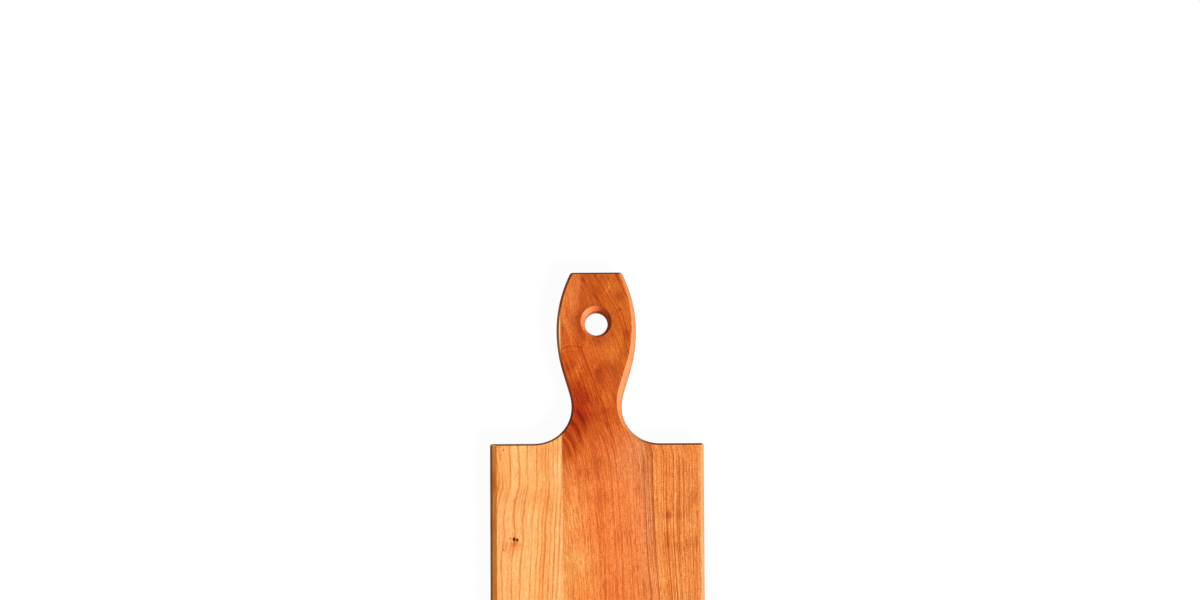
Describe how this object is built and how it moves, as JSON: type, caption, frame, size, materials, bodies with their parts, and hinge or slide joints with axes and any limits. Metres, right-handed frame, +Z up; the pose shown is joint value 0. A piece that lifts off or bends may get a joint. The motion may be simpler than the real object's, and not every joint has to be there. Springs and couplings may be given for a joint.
{
  "type": "paddle charcuterie board",
  "caption": "Long hardwood serving board with a square blade, a waisted grip handle and a hanging hole, edge-glued from a pale and a dark stave.",
  "frame": {"origin": "middle of the underside, on the surface that the board lies on", "axes": "+Y along the board towards the handle's end, +X across it to the right as seen from above with the handle pointing away, +Z up through the thickness"},
  "size_m": [0.178, 0.5486, 0.019],
  "materials": {
    "pale_wood": "oiled, pale outer wood",
    "red_wood": "oiled, red-brown heartwood",
    "wood_glue": "dried wood glue, flush with the wood"
  },
  "bodies": {
    "root": {"narrow_stave": "pale_wood", "wide_stave": "red_wood", "handle_remnant": "pale_wood", "blade_glue_line": "wood_glue", "handle_glue_line": "wood_glue"}
  },
  "joints": []
}
